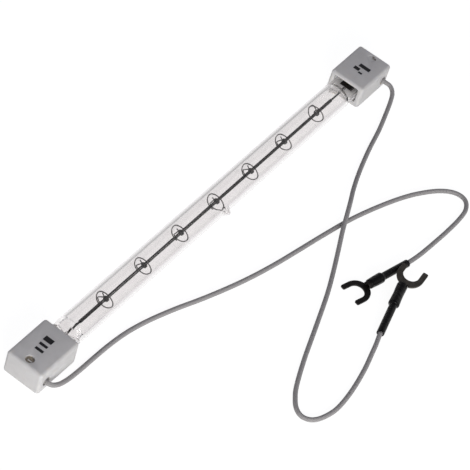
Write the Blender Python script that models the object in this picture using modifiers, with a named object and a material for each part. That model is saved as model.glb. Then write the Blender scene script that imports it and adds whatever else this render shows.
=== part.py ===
"""Quartz heating tube: a halogen heating lamp with two ceramic end caps and two sleeved fork leads.

Metres, +Z up. The tube lies along X, both caps stand on the floor at Z = 0, and the leads leave
the caps on the -Y side and lie on the floor.
"""
import math

import bmesh
import bpy
from mathutils import Matrix, Vector

MM = 0.001

# Gaps between pieces that touch on the real lamp
SEAT_GAP = 0.3 * MM
SLIP_GAP = 0.15 * MM

# Quartz envelope
TUBE_OD = 10.8 * MM
TUBE_WALL = 1.3 * MM
BODY_HALF = 79.5 * MM
SHOULDER_LENGTH = 3.5 * MM
PINCH_LENGTH = 11.5 * MM
PINCH_WIDTH = 9.6 * MM
PINCH_THICKNESS = 3.4 * MM
PINCH_WEB = 2.2 * MM
PINCH_BEAD = 1.5 * MM
PINCH_ROUNDING = 0.9 * MM
BORE_TAPER = 1.4 * MM
BORE_END_WIDTH = 5.0 * MM
BORE_END_HEIGHT = 0.8 * MM
TUBE_SIDE_COUNT = 32
SHOULDER_STEP_COUNT = 5

# Tip left by the pumping tube, as shares of its base radius and of its height
TIP_X = 1.4 * MM
TIP_HEIGHT = 1.1 * MM
TIP_RADIUS = 1.6 * MM
TIP_BORE_RADIUS = 0.6 * MM
TIP_SKIN = 0.45 * MM
TIP_SHAPE = ((0.0, 1.0), (0.3, 0.92), (0.55, 0.62), (0.75, 0.28), (1.0, -0.1))

# Filament and the wires that hold and feed it
FILAMENT_OD = 1.2 * MM
FILAMENT_WIRE = 0.35 * MM
FILAMENT_SET_IN = 15.3 * MM
FILAMENT_TURNS = 50
TURN_POINTS = 6
INNER_LEAD_WIRE = 0.6 * MM
INNER_LEAD_TAPER = 0.5 * MM
COLLAR_OD = 1.0 * MM
COLLAR_SET_IN = 4.9 * MM
FOIL_LENGTH = 7.0 * MM
FOIL_WIDTH = 5.0 * MM
FOIL_THICKNESS = 0.2 * MM
FOIL_SET_IN = 4.9 * MM

# Filament supports. Each has its own turn about the filament, in degrees from the first one.
# The middle one has a beak bent out toward the pumped tip.
SUPPORT_COUNT = 7
SUPPORT_SET_IN = 1.35 * MM
SUPPORT_WIRE = 0.35 * MM
SUPPORT_CLEARANCE = 0.6 * MM
SUPPORT_WRAP_TURNS = 1.75
SUPPORT_WRAP_PITCH = 0.5 * MM
SUPPORT_TAIL_RADIUS = 2.2 * MM
SUPPORT_FOOT_ANGLE = math.radians(-21)
SUPPORT_RING_TURNS = 1.1
SUPPORT_RING_PITCH = 0.6 * MM
SUPPORT_BEND = 0.45 * MM
SUPPORT_TURN_DEGREES = (0, -15, -27, -31, -5, -13, 80)
BEAK_ANGLE = math.radians(205)
BEAK_HALF_ANGLE = math.radians(11)
WRAP_POINT_COUNT = 14
RING_POINT_COUNT = 20
PIN_WIRE = 1.0 * MM
PIN_STICK_OUT = 3.8 * MM

# Ceramic end caps
CAP_LENGTH = 19.8 * MM
CAP_HEIGHT = 9.9 * MM
CAP_EDGE = 0.9 * MM
CAP_PAST_SHOULDER = 1.2 * MM
CAP_END_WALL = 1.5 * MM
CAP_SIDE_WALL = 1.9 * MM
CAVITY_CLEARANCE = 0.55 * MM
CAVITY_HEIGHT = 6.4 * MM
CAVITY_EDGE = 0.8 * MM
VENT_DIAMETER = 3.2 * MM
VENT_FROM_END = 3.0 * MM
LEAD_HOLE_DIAMETER = 3.4 * MM
LEAD_HOLE_FROM_END = 3.7 * MM
LEAD_HOLE_HEIGHT = 4.4 * MM
REST_GAP = 0.1 * MM
CEMENT_LENGTH = 6.0 * MM
CEMENT_PAST_PINCH = 1.2 * MM
CEMENT_BED_WIDTH = 6.0 * MM
VENT_FILL_DEPTH = 0.5 * MM

# Splice in each cap
SPLICE_OD = 2.6 * MM
SPLICE_LENGTH = 3.8 * MM
CONDUCTOR_WIRE = 0.9 * MM

# Leads, sleeves and fork terminals
LEAD_OD = 1.7 * MM
LEAD_STEP = 4.0 * MM
SLEEVE_WALL = 0.4 * MM
SLEEVE_TAPER = 1.0 * MM
SLEEVE_END_INSET = 0.15 * MM
SLEEVE_END_TAPER = 1.5 * MM
BARREL_OD = 2.8 * MM
BARREL_BORE = 1.8 * MM
BARREL_INSET = 1.9 * MM
BARREL_STICK_OUT = 1.2 * MM
FORK_SLOT = 5.8 * MM
FORK_PRONG = 1.9 * MM
FORK_ROOT = 2.4 * MM
FORK_THICKNESS = 0.8 * MM
FORK_PRONG_LENGTH = 2.4 * MM
FORK_CENTRE = 5.6 * MM
FORK_ARC_POINT_COUNT = 10
FORK_TIP_POINT_COUNT = 5
ROUTE_PIECE_COUNT = 12

# Worked out from the sizes above
AXIS_HEIGHT = TUBE_OD / 2 + REST_GAP
BORE_RADIUS = TUBE_OD / 2 - TUBE_WALL
PINCH_START = BODY_HALF + SHOULDER_LENGTH
PINCH_END = PINCH_START + PINCH_LENGTH
BORE_END = BODY_HALF + BORE_TAPER
CAP_MOUTH_X = PINCH_START + CAP_PAST_SHOULDER
CAP_END_X = CAP_MOUTH_X + CAP_LENGTH
CAVITY_END_X = CAP_END_X - CAP_END_WALL
CAVITY_WIDTH = PINCH_WIDTH + 2 * CAVITY_CLEARANCE
CAP_WIDTH = CAVITY_WIDTH + 2 * CAP_SIDE_WALL
LEAD_HOLE_X = CAP_END_X - LEAD_HOLE_FROM_END
FILAMENT_HALF = BODY_HALF - FILAMENT_SET_IN
SUPPORT_SPACING = 2 * (FILAMENT_HALF - SUPPORT_SET_IN) / (SUPPORT_COUNT - 1)
COLLAR_END = BODY_HALF - COLLAR_SET_IN
FOIL_START = BODY_HALF + FOIL_SET_IN
FOIL_END = FOIL_START + FOIL_LENGTH
PIN_START = FOIL_END + SEAT_GAP
PIN_END = PINCH_END + PIN_STICK_OUT
SPLICE_START = PIN_END - SPLICE_LENGTH / 2
SPLICE_END = SPLICE_START + SPLICE_LENGTH
LEAD_START_Y = -CAVITY_WIDTH / 2 + SLIP_GAP

# How far a cutter reaches past what it cuts
PAST = 1.0 * MM

# The side of the lamp that a piece is on: near is -X, far is +X
NEAR = -1
FAR = 1

# Where each fork lies on the floor. The angles are those of the terminal's barrel and, bent a
# little from it, of its tongue. A tongue on the low side of its barrel faces the floor.
FORK_NEAR = {
    "sleeve_end": Vector((14.9, -58.6, 2.0)) * MM,
    "sleeve_length": 18.9 * MM,
    "bulge_length": 6.8 * MM,
    "barrel_angle": math.radians(166.7),
    "tongue_bend": math.radians(-2.5),
    "pitch": 0.0,
    "tongue_side": -1,
}
FORK_FAR = {
    "sleeve_end": Vector((22.6, -67.5, 2.75)) * MM,
    "sleeve_length": 23.8 * MM,
    "bulge_length": 10.4 * MM,
    "barrel_angle": math.radians(14.7),
    "tongue_bend": math.radians(-14.0),
    "pitch": math.radians(2.4),
    "tongue_side": 1,
}

# The leads' routes in millimetres, from the hole in the cap to the mouth of the sleeve
LEAD_NEAR_ROUTE = (
    (-100.3, -8.2, 4.2), (-99.2, -9.5, 3.6), (-96.8, -10.3, 2.7), (-93.4, -10.6, 1.8),
    (-89.7, -10.7, 1.2), (-84.5, -10.8, 0.95), (-77.9, -10.9, 0.95), (-70.5, -11.2, 0.95),
    (-62.3, -12.1, 0.95), (-53.4, -14.1, 0.95), (-43.2, -17.3, 0.95), (-33.7, -20.8, 0.95),
    (-23.5, -24.2, 0.95), (-13.0, -27.2, 0.95), (-1.6, -29.8, 0.95), (10.4, -32.0, 0.95),
    (22.8, -34.2, 0.95), (35.3, -36.7, 0.95), (47.1, -40.0, 0.95), (58.1, -43.9, 0.95),
    (66.0, -47.7, 0.95), (72.7, -52.3, 0.95), (76.2, -57.0, 0.95), (76.0, -61.3, 0.95),
    (72.2, -64.0, 0.95), (66.2, -64.8, 0.95), (57.7, -64.8, 1.05), (47.4, -64.4, 1.5),
    (39.5, -63.9, 1.9),
)
LEAD_FAR_ROUTE = (
    (100.4, -8.4, 4.2), (100.9, -10.6, 3.5), (99.5, -12.8, 2.7), (96.2, -14.5, 2.0),
    (90.2, -16.6, 1.4), (80.7, -19.6, 1.0), (69.5, -22.5, 0.95), (57.5, -26.2, 1.4),
    (48.2, -29.6, 2.3), (41.2, -32.6, 3.2), (34.9, -35.3, 3.2), (28.2, -38.2, 2.3),
    (20.0, -42.1, 1.4), (10.4, -46.5, 0.95), (0.6, -50.6, 0.95), (-13.2, -55.6, 0.95),
    (-27.9, -60.8, 0.95), (-39.0, -65.3, 0.95), (-43.8, -68.0, 0.95), (-47.1, -70.8, 0.95),
    (-48.4, -74.0, 0.95), (-47.0, -77.2, 0.95), (-43.0, -79.4, 0.95), (-36.7, -80.6, 0.95),
    (-27.3, -80.0, 0.95), (-17.1, -78.2, 1.1), (-9.4, -76.2, 1.4), (-5.0, -75.0, 1.5),
)

# Colour as linear red, green, blue, then roughness and metallic
MATERIALS = {
    "quartz": ((0.90, 0.92, 0.93), 0.05, 0.0),
    "steatite": ((0.72, 0.71, 0.69), 0.55, 0.0),
    "cement": ((0.55, 0.47, 0.36), 0.90, 0.0),
    "tungsten": ((0.12, 0.12, 0.12), 0.40, 1.0),
    "molybdenum": ((0.20, 0.19, 0.18), 0.40, 1.0),
    "nickel": ((0.45, 0.43, 0.40), 0.35, 1.0),
    "lead_braid": ((0.30, 0.30, 0.30), 0.85, 0.0),
    "sleeving": ((0.015, 0.014, 0.014), 0.60, 0.0),
    "dark_terminal": ((0.055, 0.048, 0.042), 0.45, 0.6),
}


def clear_scene():
    for obj in list(bpy.data.objects):
        bpy.data.objects.remove(obj, do_unlink=True)


def new_collection(name):
    collection = bpy.data.collections.new(name)
    bpy.context.scene.collection.children.link(collection)
    return collection


def make_material(name):
    color, roughness, metallic = MATERIALS[name]
    material = bpy.data.materials.new(name)
    material.use_nodes = True
    shader = material.node_tree.nodes["Principled BSDF"]
    shader.inputs["Base Color"].default_value = (*color, 1.0)
    shader.inputs["Roughness"].default_value = roughness
    shader.inputs["Metallic"].default_value = metallic
    material.diffuse_color = (*color, 1.0)
    return material


clear_scene()
PARTS = new_collection("quartz_heating_tube")
CUTTERS = new_collection("cutters")
CUTTERS.hide_render = True
SLOTS = {name: make_material(name) for name in MATERIALS}


def add_object(name, data, material=None):
    """Link an object as a sub-part, or as a cutter when it has no material."""
    obj = bpy.data.objects.new(name, data)
    if material is None:
        CUTTERS.objects.link(obj)
        obj.hide_render = True
        obj.display_type = "WIRE"
    else:
        PARTS.objects.link(obj)
        data.materials.append(SLOTS[material])
    return obj


def mesh_from_bmesh(name, bm):
    mesh = bpy.data.meshes.new(name)
    bmesh.ops.recalc_face_normals(bm, faces=bm.faces)
    bm.to_mesh(mesh)
    bm.free()
    return mesh


def box(name, size, center, material=None):
    bm = bmesh.new()
    bmesh.ops.create_cube(bm, size=1.0)
    bmesh.ops.scale(bm, vec=size, verts=bm.verts)
    obj = add_object(name, mesh_from_bmesh(name, bm), material)
    obj.location = center
    return obj


def box_between(name, low, high, material=None):
    low = Vector(low)
    high = Vector(high)
    return box(name, high - low, (low + high) / 2, material)


def round_edges(obj, width, segments=2):
    bevel = obj.modifiers.new("edges", "BEVEL")
    bevel.width = width
    bevel.segments = segments
    bevel.limit_method = "ANGLE"
    return bevel


def cylinder(name, radius, start, end, material=None, segments=24):
    """A round bar between two points."""
    start = Vector(start)
    end = Vector(end)
    bm = bmesh.new()
    bmesh.ops.create_cone(bm, cap_ends=True, segments=segments, radius1=radius, radius2=radius,
                          depth=(end - start).length)
    obj = add_object(name, mesh_from_bmesh(name, bm), material)
    obj.location = (start + end) / 2
    obj.rotation_euler = (end - start).to_track_quat("Z", "Y").to_euler()
    return obj


def turned(name, profile, closed, material=None, steps=16):
    """A profile of (radius, height) pairs turned about Z, from the top down."""
    count = len(profile)
    points = [(radius, 0.0, height) for radius, height in profile]
    edges = [(i, i + 1) for i in range(count - 1)]
    if closed:
        edges.append((count - 1, 0))
    mesh = bpy.data.meshes.new(name)
    mesh.from_pydata(points, edges, [])
    obj = add_object(name, mesh, material)
    screw = obj.modifiers.new("turn", "SCREW")
    screw.axis = "Z"
    screw.steps = steps
    screw.render_steps = steps
    screw.use_merge_vertices = True
    screw.merge_threshold = 0.00001
    return obj


def wire(name, points, diameter, material=None, roundness=2):
    """A round wire through the points, with closed ends."""
    curve = bpy.data.curves.new(name, "CURVE")
    curve.dimensions = "3D"
    curve.bevel_depth = diameter / 2
    curve.bevel_resolution = roundness
    curve.use_fill_caps = True
    spline = curve.splines.new("POLY")
    spline.points.add(len(points) - 1)
    for point, place in zip(spline.points, points):
        point.co = (*place, 1.0)
    return add_object(name, curve, material)


def as_mesh(obj, material=None):
    """Turn an object into plain mesh, so that it can be cut or joined."""
    bpy.context.view_layer.update()
    graph = bpy.context.evaluated_depsgraph_get()
    mesh = bpy.data.meshes.new_from_object(obj.evaluated_get(graph))
    bm = bmesh.new()
    bm.from_mesh(mesh)
    bmesh.ops.remove_doubles(bm, verts=bm.verts, dist=0.000001)
    bmesh.ops.recalc_face_normals(bm, faces=bm.faces)
    bm.to_mesh(mesh)
    bm.free()
    name = obj.name
    place = obj.matrix_world.copy()
    bpy.data.objects.remove(obj, do_unlink=True)
    mesh.materials.clear()
    solid = add_object(name, mesh, material)
    solid.matrix_world = place
    return solid


def combine(target, other, operation):
    boolean = target.modifiers.new(operation.lower(), "BOOLEAN")
    boolean.operation = operation
    boolean.solver = "EXACT"
    boolean.object = other
    return boolean


def rounded_section(x, half_width, half_height, rounding, sides):
    """Points of a rounded rectangle across X, one for each of the given number of sides."""
    quarter = sides // 4
    inner_y = half_width - rounding
    inner_z = half_height - rounding
    points = []
    for corner, (sign_y, sign_z) in enumerate(((1, 1), (-1, 1), (-1, -1), (1, -1))):
        for step in range(quarter):
            angle = math.pi / 2 * (corner + step / (quarter - 1))
            points.append(Vector((x, sign_y * inner_y + rounding * math.cos(angle),
                                  AXIS_HEIGHT + sign_z * inner_z + rounding * math.sin(angle))))
    return points


def loft(name, sections, material=None):
    """A closed body through sections that have the same number of points."""
    bm = bmesh.new()
    rings = [[bm.verts.new(point) for point in section] for section in sections]
    count = len(rings[0])
    for ring, following in zip(rings, rings[1:]):
        for i in range(count):
            j = (i + 1) % count
            bm.faces.new((ring[i], ring[j], following[j], following[i]))
    bm.faces.new(rings[0])
    bm.faces.new(list(reversed(rings[-1])))
    bmesh.ops.remove_doubles(bm, verts=bm.verts, dist=0.000001)
    return add_object(name, mesh_from_bmesh(name, bm), material)


def blended(start, end, share):
    """A value on an S curve between two others."""
    eased = share * share * (3 - 2 * share)
    return start + (end - start) * eased


def flattened_sections(round_radius, round_x, flat_x, half_width, half_height, rounding, steps):
    """Sections from the round tube to a flat end, for one side of the lamp."""
    sections = []
    for step in range(steps + 1):
        share = step / steps
        sections.append(rounded_section(
            round_x + (flat_x - round_x) * share,
            blended(round_radius, half_width, share),
            blended(round_radius, half_height, share),
            blended(round_radius, rounding, share),
            TUBE_SIDE_COUNT))
    return sections


def both_ends(sections):
    """The sections of the +X end, and the same mirrored to -X, from end to end."""
    mirrored = [[Vector((-p.x, p.y, p.z)) for p in section] for section in sections]
    return list(reversed(mirrored)) + sections


def make_envelope():
    """The quartz tube: round body, two pinched seals, and the tip where it was pumped out."""
    outer = flattened_sections(TUBE_OD / 2, BODY_HALF, PINCH_START, PINCH_WIDTH / 2,
                               PINCH_THICKNESS / 2, PINCH_ROUNDING, SHOULDER_STEP_COUNT)
    outer.append(rounded_section(PINCH_END, PINCH_WIDTH / 2, PINCH_THICKNESS / 2,
                                 PINCH_ROUNDING, TUBE_SIDE_COUNT))
    envelope = loft("quartz_envelope", both_ends(outer), "quartz")
    tip_foot = TUBE_OD / 2 - TUBE_WALL / 2
    dome = [(TIP_RADIUS * wide, TUBE_OD / 2 + TIP_HEIGHT * high) for wide, high in TIP_SHAPE]
    tip = turned("tip_shape", dome + [(TIP_RADIUS, tip_foot), (0.0, tip_foot)], False)
    tip.location = (TIP_X, 0.0, AXIS_HEIGHT)
    tip.rotation_euler = (math.pi / 2, 0.0, 0.0)
    combine(envelope, tip, "UNION")
    bore = flattened_sections(BORE_RADIUS, BODY_HALF, BORE_END, BORE_END_WIDTH / 2,
                              BORE_END_HEIGHT / 2, BORE_END_HEIGHT / 2, SHOULDER_STEP_COUNT)
    combine(envelope, loft("bore_shape", both_ends(bore)), "DIFFERENCE")
    tip_bore_end = TUBE_OD / 2 + TIP_HEIGHT - TIP_SKIN
    tip_bore = cylinder("tip_bore_shape", TIP_BORE_RADIUS, (TIP_X, -(BORE_RADIUS - PAST), AXIS_HEIGHT),
                        (TIP_X, -tip_bore_end, AXIS_HEIGHT), segments=12)
    combine(envelope, tip_bore, "DIFFERENCE")
    for side, end in ((NEAR, "near"), (FAR, "far")):
        groove_depth = (PINCH_THICKNESS - PINCH_WEB) / 2
        for face, level in (("low", -1), ("high", 1)):
            groove = box(f"groove_{face}_{end}",
                         (PINCH_LENGTH, PINCH_WIDTH - 2 * PINCH_BEAD, 2 * groove_depth),
                         (side * (PINCH_START + PINCH_LENGTH / 2 + PAST), 0.0,
                          AXIS_HEIGHT + level * PINCH_THICKNESS / 2))
            combine(envelope, groove, "DIFFERENCE")
        feed = cylinder(f"feed_channel_{end}", INNER_LEAD_WIRE / 2 + SLIP_GAP,
                        (side * (BORE_END - PAST), 0.0, AXIS_HEIGHT),
                        (side * (FOIL_START + PAST), 0.0, AXIS_HEIGHT), segments=16)
        combine(envelope, feed, "DIFFERENCE")
        slot = box(f"foil_slot_{end}",
                   (FOIL_LENGTH + 2 * SLIP_GAP, FOIL_WIDTH + 2 * SLIP_GAP,
                    FOIL_THICKNESS + 2 * SLIP_GAP),
                   (side * (FOIL_START + FOIL_LENGTH / 2), 0.0, AXIS_HEIGHT))
        combine(envelope, slot, "DIFFERENCE")
        channel = cylinder(f"pin_channel_{end}", PIN_WIRE / 2 + SLIP_GAP,
                           (side * (FOIL_END - PAST), 0.0, AXIS_HEIGHT),
                           (side * (PINCH_END + PAST), 0.0, AXIS_HEIGHT), segments=16)
        combine(envelope, channel, "DIFFERENCE")


def around(x, radius, angle):
    return (x, radius * math.cos(angle), AXIS_HEIGHT + radius * math.sin(angle))


def make_filament():
    radius = (FILAMENT_OD - FILAMENT_WIRE) / 2
    count = FILAMENT_TURNS * TURN_POINTS
    reach = FILAMENT_HALF - FILAMENT_WIRE / 2
    points = []
    for i in range(count + 1):
        angle = 2 * math.pi * i / TURN_POINTS
        points.append(around(TIP_X - reach + 2 * reach * i / count, radius, angle))
    wire("filament", points, FILAMENT_WIRE, "tungsten", 1)


def ring_radius_at(angle, has_beak):
    """The ring's radius, a little more where a beak is bent out of it."""
    radius = BORE_RADIUS - SUPPORT_CLEARANCE - SUPPORT_WIRE / 2
    beak_radius = BORE_RADIUS - SLIP_GAP - SUPPORT_WIRE / 2
    off_beak = abs((angle - BEAK_ANGLE + math.pi) % (2 * math.pi) - math.pi)
    if has_beak and off_beak < BEAK_HALF_ANGLE:
        return beak_radius
    return radius


def make_support(index):
    """One bent wire: a ring in the bore, a spoke to the filament, turns round it, and a tail."""
    center = TIP_X + (index - (SUPPORT_COUNT - 1) / 2) * SUPPORT_SPACING
    turn = math.radians(SUPPORT_TURN_DEGREES[index % len(SUPPORT_TURN_DEGREES)])
    has_beak = index == SUPPORT_COUNT // 2
    wrap_radius = FILAMENT_OD / 2 + SLIP_GAP + SUPPORT_WIRE / 2
    ring_radius = BORE_RADIUS - SUPPORT_CLEARANCE - SUPPORT_WIRE / 2
    foot_angle = SUPPORT_FOOT_ANGLE + turn
    ring_angle = 2 * math.pi * SUPPORT_RING_TURNS
    foot_x = center + SUPPORT_RING_PITCH * SUPPORT_RING_TURNS / 2
    points = []
    for i in range(RING_POINT_COUNT + 1):
        share = i / RING_POINT_COUNT
        angle = foot_angle - ring_angle * (1 - share) - SUPPORT_BEND / ring_radius
        points.append(around(foot_x - SUPPORT_RING_PITCH * SUPPORT_RING_TURNS * (1 - share),
                             ring_radius_at(angle, has_beak), angle))
    wrap_start = foot_angle + math.acos(wrap_radius / ring_radius)
    wrap_angle = 2 * math.pi * SUPPORT_WRAP_TURNS
    spoke_foot = Vector(around(foot_x, ring_radius, foot_angle))
    spoke_head = Vector(around(foot_x, wrap_radius, wrap_start))
    spoke = spoke_head - spoke_foot
    points.append(tuple(spoke_foot + spoke.normalized() * SUPPORT_BEND))
    for i in range(WRAP_POINT_COUNT + 1):
        share = i / WRAP_POINT_COUNT
        points.append(around(foot_x + SUPPORT_WRAP_PITCH * SUPPORT_WRAP_TURNS * share, wrap_radius,
                             wrap_start + wrap_angle * share))
    tail_angle = wrap_start + wrap_angle + math.acos(wrap_radius / SUPPORT_TAIL_RADIUS)
    points.append(around(foot_x + SUPPORT_WRAP_PITCH * SUPPORT_WRAP_TURNS, SUPPORT_TAIL_RADIUS, tail_angle))
    wire(f"filament_support_{index + 1}", points, SUPPORT_WIRE, "molybdenum", 1)


def make_feed(side, end):
    """The wires and foil that carry the current through one pinched seal."""
    collar_start = FILAMENT_HALF + side * TIP_X + SEAT_GAP
    collar = ((0.0, collar_start), (COLLAR_OD / 2, collar_start), (COLLAR_OD / 2, COLLAR_END),
              (INNER_LEAD_WIRE / 2, COLLAR_END + INNER_LEAD_TAPER),
              (INNER_LEAD_WIRE / 2, FOIL_START - SEAT_GAP), (0.0, FOIL_START - SEAT_GAP))
    lead = turned(f"inner_lead_{end}", tuple(reversed(collar)), False, "molybdenum", 12)
    lead.rotation_euler = (0.0, side * math.pi / 2, 0.0)
    lead.location = (0.0, 0.0, AXIS_HEIGHT)
    box(f"foil_{end}", (FOIL_LENGTH, FOIL_WIDTH, FOIL_THICKNESS),
        (side * (FOIL_START + FOIL_LENGTH / 2), 0.0, AXIS_HEIGHT), "molybdenum")
    cylinder(f"outer_pin_{end}", PIN_WIRE / 2, (side * PIN_START, 0.0, AXIS_HEIGHT),
             (side * PIN_END, 0.0, AXIS_HEIGHT), "nickel", 12)
    bore = PIN_WIRE / 2 + SLIP_GAP
    splice = turned(f"splice_{end}", ((SPLICE_OD / 2, SPLICE_END), (SPLICE_OD / 2, SPLICE_START),
                                      (bore, SPLICE_START), (bore, SPLICE_END)), True, "nickel")
    splice.rotation_euler = (0.0, side * math.pi / 2, 0.0)
    splice.location = (0.0, 0.0, AXIS_HEIGHT)
    start = PIN_END + SEAT_GAP
    straight_end = SPLICE_END + SEAT_GAP
    turn_x = straight_end + CONDUCTOR_WIRE
    hole = Vector((LEAD_HOLE_X, LEAD_START_Y + SEAT_GAP, LEAD_HOLE_HEIGHT))
    corner = Vector((turn_x, 0.0, AXIS_HEIGHT))
    route = [Vector((start, 0.0, AXIS_HEIGHT)), Vector((straight_end, 0.0, AXIS_HEIGHT))]
    for share in (0.25, 0.5, 0.75):
        route.append(bend_point(route[1], corner, hole, share))
    route.append(hole)
    wire(f"conductor_{end}", [(side * p.x, p.y, p.z) for p in route], CONDUCTOR_WIRE, "nickel")


def bend_point(start, corner, end, share):
    """A point on the curve that leaves start for the corner and turns to the end."""
    return start.lerp(corner, share).lerp(corner.lerp(end, share), share)


def make_cap(side, end):
    """A ceramic cap, open to the tube, with a hole above and a hole for the lead."""
    cap = box_between(f"end_cap_{end}", (CAP_MOUTH_X, -CAP_WIDTH / 2, 0.0),
                      (CAP_END_X, CAP_WIDTH / 2, CAP_HEIGHT), "steatite")
    cap.location.x *= side
    round_edges(cap, CAP_EDGE)
    cavity = box_between(f"cavity_shape_{end}",
                         (CAP_MOUTH_X - PAST, -CAVITY_WIDTH / 2, AXIS_HEIGHT - CAVITY_HEIGHT / 2),
                         (CAVITY_END_X, CAVITY_WIDTH / 2, AXIS_HEIGHT + CAVITY_HEIGHT / 2))
    cavity.location.x *= side
    round_edges(cavity, CAVITY_EDGE)
    combine(cap, cavity, "DIFFERENCE")
    vent_x = side * (CAP_END_X - VENT_FROM_END)
    vent = cylinder(f"vent_shape_{end}", VENT_DIAMETER / 2, (vent_x, 0.0, AXIS_HEIGHT),
                    (vent_x, 0.0, CAP_HEIGHT + PAST))
    combine(cap, vent, "DIFFERENCE")
    hole = cylinder(f"lead_hole_shape_{end}", LEAD_HOLE_DIAMETER / 2,
                    (side * LEAD_HOLE_X, -CAP_WIDTH / 2 - PAST, LEAD_HOLE_HEIGHT),
                    (side * LEAD_HOLE_X, -CAVITY_WIDTH / 2 + PAST, LEAD_HOLE_HEIGHT))
    combine(cap, hole, "DIFFERENCE")


def make_cement(side, end):
    """The cement that holds the pinched seal in its cap, and fills the hole above the splice."""
    cement_end = PINCH_END + CEMENT_PAST_PINCH
    fit = SLIP_GAP
    cement = box_between(f"cement_{end}",
                         (cement_end - CEMENT_LENGTH, -CAVITY_WIDTH / 2 + fit,
                          AXIS_HEIGHT - CAVITY_HEIGHT / 2 + fit),
                         (cement_end, CAVITY_WIDTH / 2 - fit,
                          AXIS_HEIGHT + CAVITY_HEIGHT / 2 - fit), "cement")
    cement.location.x *= side
    round_edges(cement, CAVITY_EDGE)
    hole = box_between(f"seal_shape_{end}",
                       (cement_end - CEMENT_LENGTH - PAST, -PINCH_WIDTH / 2 - fit,
                        AXIS_HEIGHT - PINCH_THICKNESS / 2 - fit),
                       (cement_end + PAST, PINCH_WIDTH / 2 + fit,
                        AXIS_HEIGHT + PINCH_THICKNESS / 2 + fit))
    hole.location.x *= side
    combine(cement, hole, "DIFFERENCE")
    bed_bottom = AXIS_HEIGHT + SPLICE_OD / 2 + fit
    bed_top = AXIS_HEIGHT + CAVITY_HEIGHT / 2 - fit
    bed = box_between(f"bed_shape_{end}", (PINCH_END + fit, -CEMENT_BED_WIDTH / 2, bed_bottom),
                      (CAVITY_END_X - CAVITY_EDGE, CEMENT_BED_WIDTH / 2, bed_top))
    bed.location.x *= side
    combine(cement, bed, "UNION")
    vent_x = side * (CAP_END_X - VENT_FROM_END)
    fill = cylinder(f"vent_fill_shape_{end}", VENT_DIAMETER / 2 - fit, (vent_x, 0.0, bed_bottom + fit),
                    (vent_x, 0.0, CAP_HEIGHT - VENT_FILL_DEPTH))
    combine(cement, fill, "UNION")


def fork_frame(fork):
    """The place of a terminal: its local +X leaves the sleeve and points along the barrel."""
    turn = Matrix.Rotation(fork["barrel_angle"], 4, "Z") @ Matrix.Rotation(-fork["pitch"], 4, "Y")
    return Matrix.Translation(fork["sleeve_end"]) @ turn


def fork_outline(bend):
    """The tongue's outline, with its slot open toward +X and the slot's centre at the origin."""
    inner = FORK_SLOT / 2
    outer = inner + FORK_PRONG
    tip_radius = FORK_PRONG / 2
    tip_center = inner + tip_radius
    neck_half = BARREL_OD / 2
    neck_angle = math.asin(neck_half / outer)
    neck_back = -(FORK_CENTRE - SEAT_GAP - neck_half * abs(math.sin(bend)))
    half = [(neck_back, neck_half)]
    for i in range(FORK_ARC_POINT_COUNT + 1):
        angle = math.pi - neck_angle - (math.pi / 2 - neck_angle) * i / FORK_ARC_POINT_COUNT
        reach = outer + (FORK_ROOT - FORK_PRONG) * math.cos(angle) ** 2
        half.append((reach * math.cos(angle), reach * math.sin(angle)))
    for i in range(FORK_TIP_POINT_COUNT + 1):
        angle = math.pi / 2 - math.pi * i / FORK_TIP_POINT_COUNT
        half.append((FORK_PRONG_LENGTH + tip_radius * math.cos(angle),
                     tip_center + tip_radius * math.sin(angle)))
    for i in range(FORK_ARC_POINT_COUNT + 1):
        angle = math.pi / 2 + math.pi / 2 * i / FORK_ARC_POINT_COUNT
        half.append((inner * math.cos(angle), inner * math.sin(angle)))
    return half + [(x, -y) for x, y in reversed(half[:-1])]


def make_fork(fork, end):
    """A fork terminal: a flat forked tongue on a round crimp barrel."""
    name = f"fork_terminal_{end}"
    curve = bpy.data.curves.new(name, "CURVE")
    curve.dimensions = "2D"
    curve.fill_mode = "BOTH"
    curve.extrude = FORK_THICKNESS / 2
    spline = curve.splines.new("POLY")
    outline = fork_outline(fork["tongue_bend"])
    spline.points.add(len(outline) - 1)
    for point, (x, y) in zip(spline.points, outline):
        point.co = (x, y, 0.0, 1.0)
    spline.use_cyclic_u = True
    tongue = add_object(name, curve, "dark_terminal")
    rise = fork["tongue_side"] * (BARREL_OD - FORK_THICKNESS) / 2
    place = Matrix.Rotation(fork["tongue_bend"], 4, "Z") @ Matrix.Translation((FORK_CENTRE, 0.0, rise))
    tongue.matrix_world = fork_frame(fork) @ place
    tongue = as_mesh(tongue, "dark_terminal")
    barrel_back = BARREL_INSET - fork["bulge_length"]
    barrel = turned(f"barrel_shape_{end}",
                    ((BARREL_OD / 2, BARREL_STICK_OUT), (BARREL_OD / 2, barrel_back),
                     (BARREL_BORE / 2, barrel_back), (BARREL_BORE / 2, BARREL_STICK_OUT)), True)
    barrel.matrix_world = fork_frame(fork) @ Matrix.Rotation(math.pi / 2, 4, "Y")
    combine(tongue, barrel, "UNION")


def make_sleeve(fork, end):
    """Heat-shrunk sleeving over the crimp barrel and the end of the lead."""
    narrow_in = LEAD_OD / 2 + SLIP_GAP
    narrow_out = narrow_in + SLEEVE_WALL
    wide_in = BARREL_OD / 2 + SLIP_GAP
    wide_out = wide_in + SLEEVE_WALL
    length = fork["sleeve_length"]
    bulge = fork["bulge_length"]
    step_in = BARREL_INSET - bulge - SEAT_GAP
    profile = ((wide_out - SLEEVE_END_INSET, 0.0), (wide_out, -SLEEVE_END_TAPER),
               (wide_out, -bulge + SLEEVE_TAPER), (narrow_out, -bulge), (narrow_out, -length),
               (narrow_in, -length), (narrow_in, step_in - SLEEVE_TAPER), (wide_in, step_in),
               (wide_in, 0.0))
    sleeve = turned(f"sleeve_{end}", profile, True, "sleeving")
    sleeve.matrix_world = fork_frame(fork) @ Matrix.Rotation(math.pi / 2, 4, "Y")


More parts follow.
